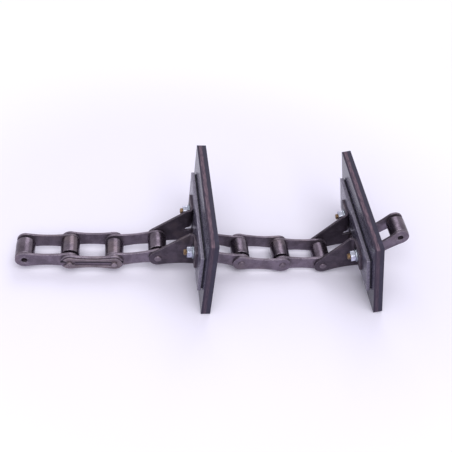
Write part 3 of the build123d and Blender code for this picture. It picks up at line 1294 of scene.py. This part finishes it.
@dataclass
class BoltedPaddle:
    """A rubber paddle with its backing plate and two bolts, in the link's frame.

    Attributes:
        link: The attachment link.
        bolt_out: From the middle plane to each bolt.
        bolt_up: From the pin line to the bolts.
        across: Across the flats of nut and head.
        corner: Angle of one hexagon corner.
        edge_step: Height of the step at a hexagon's ends, before they are rounded.
        edge_round: Rounding of a hexagon's edges.
        chamfer_start: Where a hexagon's chamfer starts, as a share of half its width.
        thread_radius: Outside radius of the thread.
        root_radius: Radius at the thread's root.
        thread_pitch: Rise of one turn.
        nut_entry: Depth of the countersink at the nut's ends.
        head_height: Height of the head.
        washer_bore: Radius of the washers' holes.
        washer_thickness: Their thickness.
        washer_radii: Outside radius under the nut and under the head.
        washer_round: Rounding of their edges.
        seat_height: How far the rubber's seat for the backing plate stands out.
        rubber_round: Rounding of the rubber's edges.
        backing_round: Rounding of the backing plate's edges.
    """

    link: Link
    bolt_out: float = 27.0 * MM
    bolt_up: float = 20.7 * MM
    across: float = 10.0 * MM
    corner: float = math.radians(15)
    edge_step: float = 0.1 * MM
    edge_round: float = 0.12 * MM
    chamfer_start: float = 0.93
    thread_radius: float = 3.0 * MM
    root_radius: float = 2.45 * MM
    thread_pitch: float = 1.0 * MM
    nut_entry: float = 0.35 * MM
    head_height: float = 4.0 * MM
    washer_bore: float = 3.3 * MM
    washer_thickness: float = 1.6 * MM
    washer_radii: Span = (6.25 * MM, 9.0 * MM)
    washer_round: float = 0.25 * MM
    seat_height: float = 1.1 * MM
    rubber_round: float = 0.5 * MM
    backing_round: float = 0.35 * MM

    def node(self, what: str) -> str:
        """Name one of the link's CAD nodes."""
        return f"{self.link.name}_{what}"

    def span(self, what: str) -> Span:
        """Give where one of the link's CAD nodes starts and ends along X."""
        low, high = self.link.extent(what)
        return low.x, high.x

    def place_fastener(self, blank: Blank) -> Blank:
        """Turn a blank from the Y axis to the bolt's axis and add its twin on the other side.

        Args:
            blank: A blank turned round the Y axis.

        Returns:
            Both copies, in the link's frame.
        """
        along_x = Matrix.Rotation(-math.pi / 2, 4, "Z")
        blank.moved(Matrix.Translation((0, self.bolt_out, self.bolt_up)) @ along_x)
        return blank.paired(Vector((0, -2 * self.bolt_out, 0)))

    def build_slabs(self) -> None:
        """Build the rubber paddle and the steel backing plate."""
        slabs = (
            ("paddle", self.seat_height, self.rubber_round, BELTING),
            ("backing", 0.0, self.backing_round, BACKING_STEEL),
        )
        for what, raised, rounding, finish in slabs:
            low, high = self.link.extent(what)
            front = low.x + raised
            sized = replace(finish, front=front / MM, thickness=(high.x - front) / MM, top=high.z / MM)
            blank = Blank.from_node(self.node(what), self.link.place).soften(rounding, 2)
            blank.finish(self.node(what), self.link.place, sized, self.link.place, "_" + self.link.name)

    def build_nuts(self) -> None:
        """Build both nuts, chamfered at both ends."""
        start, end = self.span("nuts")
        half, bore, entry = self.across / 2, self.root_radius, self.nut_entry
        mouth, flat = bore + entry * 1.6, self.chamfer_start * half
        low, high = start + self.edge_step, end - self.edge_step
        blank = Blank.turned([
            (bore, start + entry), (mouth, start), (flat, start), (half, low),
            (half, high), (flat, end), (mouth, end), (bore, end - entry),
        ], closed=True, steps=60)
        blank.hexed(self.across, ((low, 1), (high, -1)), self.turned_corner())
        blank.soften(self.edge_round, 2)
        self.place_fastener(blank).finish(self.node("nuts"), self.link.place, NUT_ZINC)

    def build_bolts(self) -> None:
        """Build both bolts: thread, shank and chamfered head."""
        tip, end = self.span("bolts")
        start, shank_start, half = end - self.head_height, self.span("nuts")[1], self.across / 2
        high = end - 1.5 * self.edge_step
        dish = ((0.62 * half, end), (0.56 * half, end - 0.2 * MM), (0.0, end - 0.25 * MM))
        blank = Blank.turned([
            (0.0, shank_start), (self.thread_radius, shank_start), (self.thread_radius, start),
            (0.97 * half, start), (half, start + self.edge_step), (half, high),
            (self.chamfer_start * half, end), *dish,
        ], steps=60)
        blank.hexed(self.across, ((high, -1),), self.turned_corner())
        blank.soften(self.edge_round, 2)
        blank.joined(Blank.threaded(
            self.thread_radius, self.root_radius, self.thread_pitch, tip, shank_start + 0.05 * MM
        ))
        self.place_fastener(blank).finish(self.node("bolts"), self.link.place, BOLT_ZINC)

    def build_washers(self) -> None:
        """Build the small washers under the nuts and the wide ones under the heads."""
        blank = Blank()
        first, last = self.span("washers")
        for start, radius in zip((first, last - self.washer_thickness), self.washer_radii, strict=True):
            end = start + self.washer_thickness
            ring = [(self.washer_bore, start), (radius, start), (radius, end), (self.washer_bore, end)]
            blank.joined(Blank.turned(ring, closed=True, steps=56).soften(self.washer_round, 2))
        self.place_fastener(blank).finish(self.node("washers"), self.link.place, WASHER_ZINC)

    def turned_corner(self) -> float:
        """Give the hexagon's corner angle before the blank is turned to the bolt's axis."""
        return math.pi - self.corner

    def build(self) -> None:
        """Build the paddle and everything that holds it."""
        self.build_slabs()
        self.build_nuts()
        self.build_bolts()
        self.build_washers()


@dataclass
class ConveyorChain:
    """The nine links in order.

    Attributes:
        kinds: Each link's kind, from left to right.
    """

    kinds: tuple[Kind, ...] = (
        Kind.INNER, Kind.CLIP, Kind.INNER, Kind.ATTACH, Kind.INNER,
        Kind.OUTER, Kind.INNER, Kind.ATTACH, Kind.INNER,
    )

    @property
    def links(self) -> list[Link]:
        """The links, named by kind and number."""
        return [Link(f"{kind.value}{number}", kind) for number, kind in enumerate(self.kinds, 1)]

    def build(self) -> None:
        """Build every link's plates and the pieces that its kind has."""
        for link in self.links:
            SidePlates(link).build()
            if link.kind is Kind.INNER:
                RollerPair(link).build()
            else:
                Pins(link).build()
            if link.kind is Kind.CLIP:
                SpringClip(link).build()
            if link.kind is Kind.ATTACH:
                BoltedPaddle(link).build()
            LOG.info("link %s is finished", link.name)


# ------------------------------------------------------------ studio
@dataclass(frozen=True)
class Softbox:
    """A square area lamp.

    Attributes:
        name: The lamp's name.
        at: Where it hangs.
        aim: What it points at.
        size: Its side.
        power: Its power in watts.
        colour: Its colour.
    """

    name: str
    at: Triple
    aim: Triple
    size: float
    power: float
    colour: str = "#ffffff"

    def hang(self) -> None:
        """Add the lamp to the scene."""
        lamp = bpy.data.lights.new(self.name, "AREA")
        lamp.shape, lamp.size, lamp.energy = "SQUARE", self.size, self.power
        lamp.color = linear(self.colour)[:3]
        holder = bpy.data.objects.new(self.name, lamp)
        holder.location = self.at
        holder.rotation_euler = (Vector(self.aim) - Vector(self.at)).to_track_quat("-Z", "Y").to_euler()
        holder.visible_camera = False
        bpy.context.scene.collection.objects.link(holder)


@dataclass
class Studio:
    """Floor, lamps, surroundings and camera.

    Attributes:
        floor_size: Side of the floor.
        lamps: The softboxes.
        sky: Colour of the surroundings.
        sky_level: Strength at which they light the object.
        camera_at: Where the camera stands.
        camera_turn: Its rotation in degrees.
        lens: Focal length in millimetres.
        sensor: Width of the camera's sensor in millimetres.
        clip: Nearest and farthest distance that it sees.
    """

    floor_size: float = 6.0
    lamps: tuple[Softbox, ...] = (
        Softbox("front_softbox", (-0.1, -0.7, 1.1), (0.0, 0.0, 0.0), 1.2, 11.5),
        Softbox("back_softbox", (0.1, 0.7, 0.85), (0.0, 0.0, 0.0), 0.6, 2.2),
    )
    sky: str = "#f6f4ff"
    sky_level: float = 0.6
    camera_at: Triple = (-0.10496349, -0.47245254, 0.53370512)
    camera_turn: Triple = (44.624174, -7.241088, -6.149139)
    lens: float = 57.367
    sensor: float = 36.0
    clip: Span = (0.01, 20.0)

    def lay_floor(self) -> None:
        """Lay the floor under the chain."""
        mesh = bmesh.new()
        bmesh.ops.create_grid(mesh, x_segments=1, y_segments=1, size=self.floor_size / 2)
        data = bpy.data.meshes.new("studio_floor")
        mesh.to_mesh(data)
        mesh.free()
        data.materials.append(FloorFinish("floor_finish", "").material())
        floor = bpy.data.objects.new("studio_floor", data)
        bpy.context.scene.collection.objects.link(floor)

    def light(self) -> None:
        """Hang the lamps and set the surroundings, which look white and light the object softly."""
        for lamp in self.lamps:
            lamp.hang()
        world = bpy.data.worlds.new("studio_surroundings")
        world.use_nodes = True
        bpy.context.scene.world = world
        w = Wiring(world.node_tree)
        w.feed(world.node_tree.nodes["Background"], {
            "Color": w.mixed(w.seen(), linear(self.sky), linear("#ffffff")),
            "Strength": w.node("MapRange", {0: w.seen(), 3: self.sky_level, 4: 1.0}).outputs[0],
        })

    def stand_camera(self) -> None:
        """Stand the camera in front of and above the chain."""
        lens = bpy.data.cameras.new("studio_camera")
        lens.lens, lens.sensor_width = self.lens, self.sensor
        lens.clip_start, lens.clip_end = self.clip
        camera = bpy.data.objects.new("studio_camera", lens)
        camera.location = self.camera_at
        camera.rotation_euler = [math.radians(turn) for turn in self.camera_turn]
        bpy.context.scene.collection.objects.link(camera)
        bpy.context.scene.camera = camera

    def build(self) -> None:
        """Set up the whole studio."""
        self.stand_camera()
        self.lay_floor()
        self.light()
        bpy.context.scene.view_settings.view_transform = "Standard"
        LOG.info("studio: floor, %d lamps and camera", len(self.lamps))


def main() -> None:
    """Build the studio and the chain, in order."""
    logging.basicConfig(level=logging.INFO, format="%(name)s: %(message)s")
    Studio().build()
    ConveyorChain().build()


if __name__ == "__main__":
    main()
